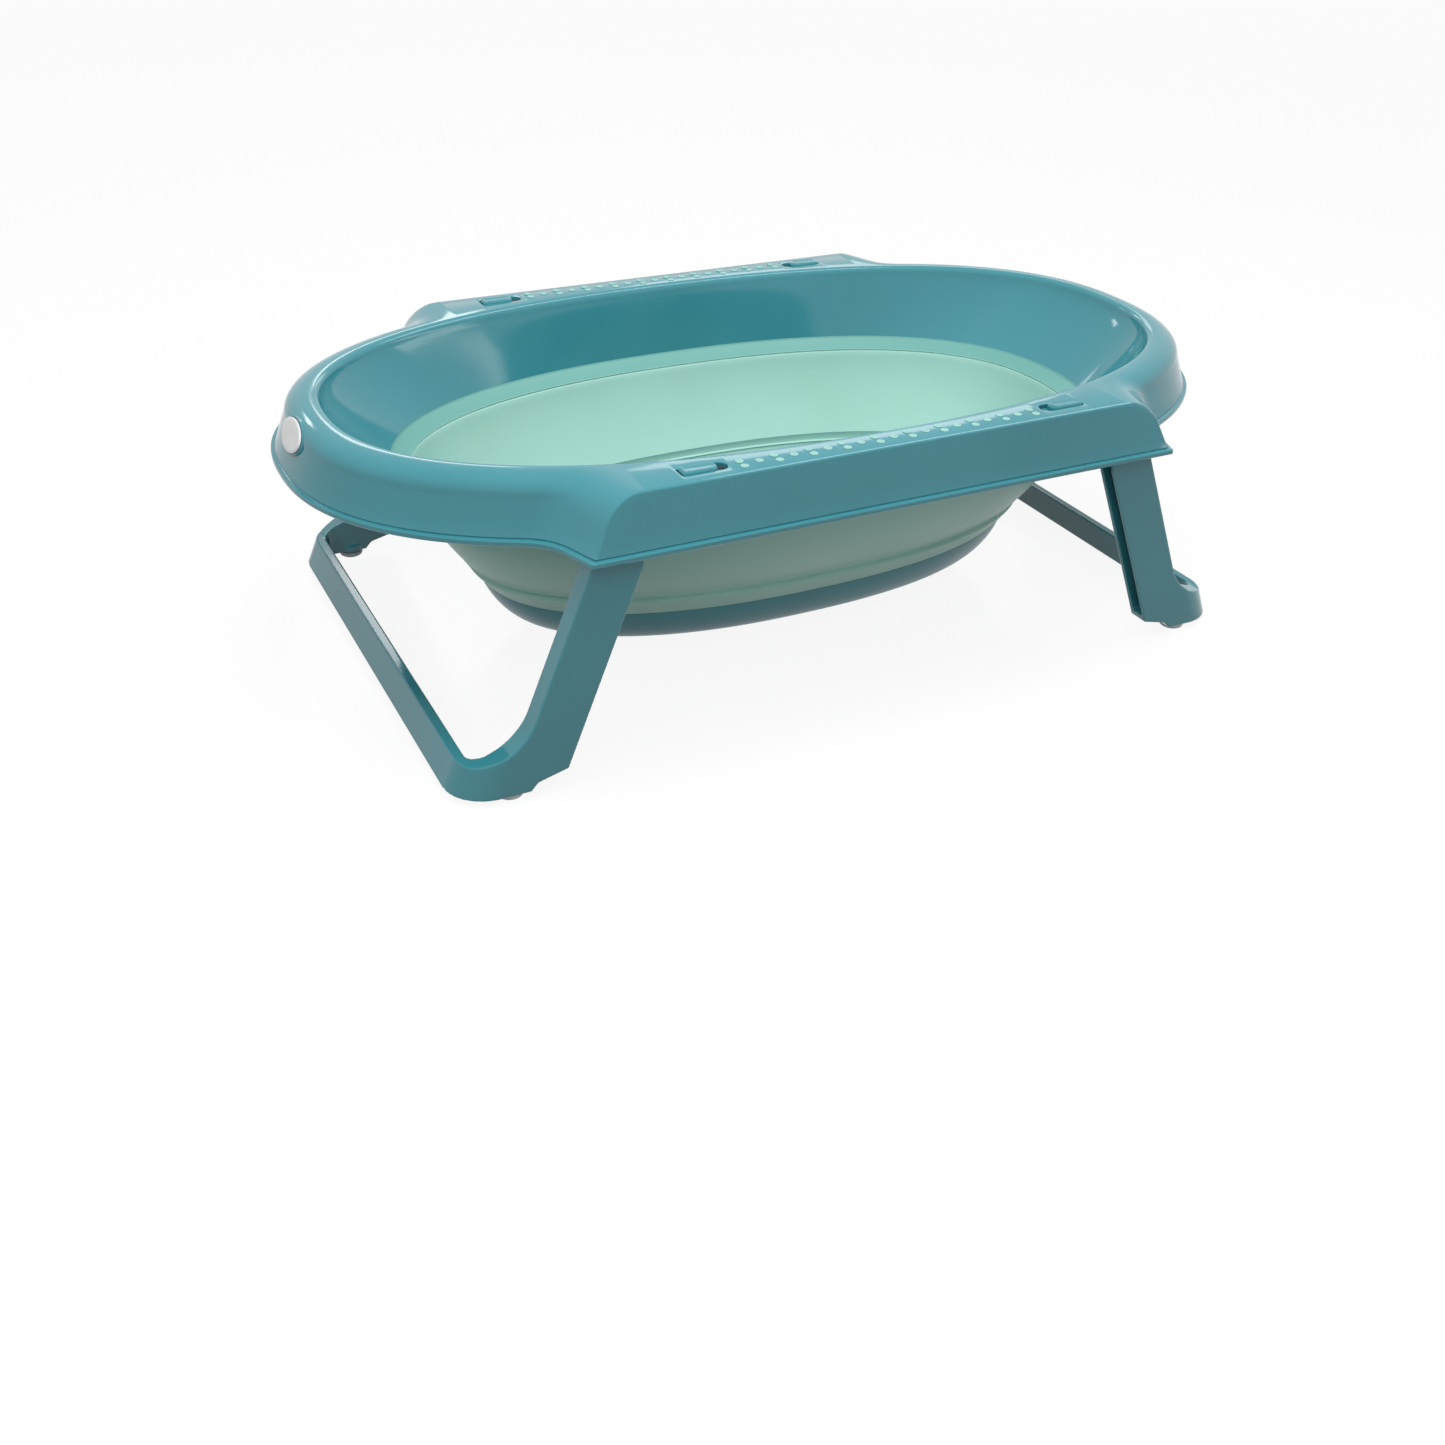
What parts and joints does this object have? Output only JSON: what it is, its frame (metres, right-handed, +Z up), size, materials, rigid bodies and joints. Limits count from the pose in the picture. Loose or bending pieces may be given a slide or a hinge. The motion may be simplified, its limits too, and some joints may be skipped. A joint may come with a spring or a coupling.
{
  "type": "folding baby bathtub",
  "caption": "Folding baby bathtub: oval rim with side rails and sprung thumb locks, soft collapsing wall with a base pan, and leg frames that fold flat underneath.",
  "frame": {"origin": "on the floor under the middle of the tub, level with the underside of the foot pads", "axes": "+X along the tub, away from the badge; +Y to the rear rail; +Z up"},
  "size_m": [0.833, 0.476, 0.233],
  "materials": {
    "teal_plastic": "glossy moulded polypropylene",
    "mint_rubber": "satin moulded thermoplastic rubber",
    "white_plastic": "satin moulded plastic",
    "white_rubber": "matt moulded rubber",
    "spring_steel": "drawn and polished"
  },
  "bodies": {
    "rim": {"rim_frame": "teal_plastic", "soft_wall": "mint_rubber", "badge_plate": "white_plastic", "grip_strip_front": "mint_rubber", "grip_strip_rear": "mint_rubber", "hinge_pin_left_front": "spring_steel", "hinge_pin_left_rear": "spring_steel", "hinge_pin_right_front": "spring_steel", "hinge_pin_right_rear": "spring_steel", "lock_spring_left_front": "spring_steel", "lock_spring_left_rear": "spring_steel", "lock_spring_right_front": "spring_steel", "lock_spring_right_rear": "spring_steel"},
    "base": {"base_pan": "teal_plastic"},
    "drain_plug": {"drain_plug": "mint_rubber"},
    "leg_left": {"left_leg_frame": "teal_plastic", "foot_pad_left_front": "white_rubber", "foot_pad_left_rear": "white_rubber"},
    "leg_right": {"right_leg_frame": "teal_plastic", "foot_pad_right_front": "white_rubber", "foot_pad_right_rear": "white_rubber"},
    "lock_left_front": {"thumb_lock_left_front": "teal_plastic"},
    "lock_left_rear": {"thumb_lock_left_rear": "teal_plastic"},
    "lock_right_front": {"thumb_lock_right_front": "teal_plastic"},
    "lock_right_rear": {"thumb_lock_right_rear": "teal_plastic"}
  },
  "joints": [
    {"name": "base_collapse", "type": "slide", "parent": "rim", "child": "base", "axis": [0, 0, 1], "range_m": [0, 0.145], "deforming": ["soft_wall"]},
    {"name": "plug_lift", "type": "slide", "parent": "base", "child": "drain_plug", "axis": [0, 0, 1], "range_m": [0, 0.04]},
    {"name": "left_leg_fold", "type": "hinge", "parent": "rim", "child": "leg_left", "pos_m": [-0.2233, 0, 0.2], "axis": [0, -1, 0], "range_deg": [0, 104.5]},
    {"name": "right_leg_fold", "type": "hinge", "parent": "rim", "child": "leg_right", "pos_m": [0.2233, 0, 0.2], "axis": [0, 1, 0], "range_deg": [0, 104.5]},
    {"name": "lock_slide_left_front", "type": "slide", "parent": "rim", "child": "lock_left_front", "axis": [1, 0, 0], "range_m": [0, 0.007], "stiffness_N_per_m": 150, "springref_m": -0.004, "deforming": ["lock_spring_left_front"]},
    {"name": "lock_slide_left_rear", "type": "slide", "parent": "rim", "child": "lock_left_rear", "axis": [1, 0, 0], "range_m": [0, 0.007], "stiffness_N_per_m": 150, "springref_m": -0.004, "deforming": ["lock_spring_left_rear"]},
    {"name": "lock_slide_right_front", "type": "slide", "parent": "rim", "child": "lock_right_front", "axis": [-1, 0, 0], "range_m": [0, 0.007], "stiffness_N_per_m": 150, "springref_m": -0.004, "deforming": ["lock_spring_right_front"]},
    {"name": "lock_slide_right_rear", "type": "slide", "parent": "rim", "child": "lock_right_rear", "axis": [-1, 0, 0], "range_m": [0, 0.007], "stiffness_N_per_m": 150, "springref_m": -0.004, "deforming": ["lock_spring_right_rear"]}
  ],
  "couplings": [
    {"joint": "left_leg_fold", "follows": "base_collapse", "rad_per_m": 12.577},
    {"joint": "right_leg_fold", "follows": "base_collapse", "rad_per_m": 12.577}
  ]
}
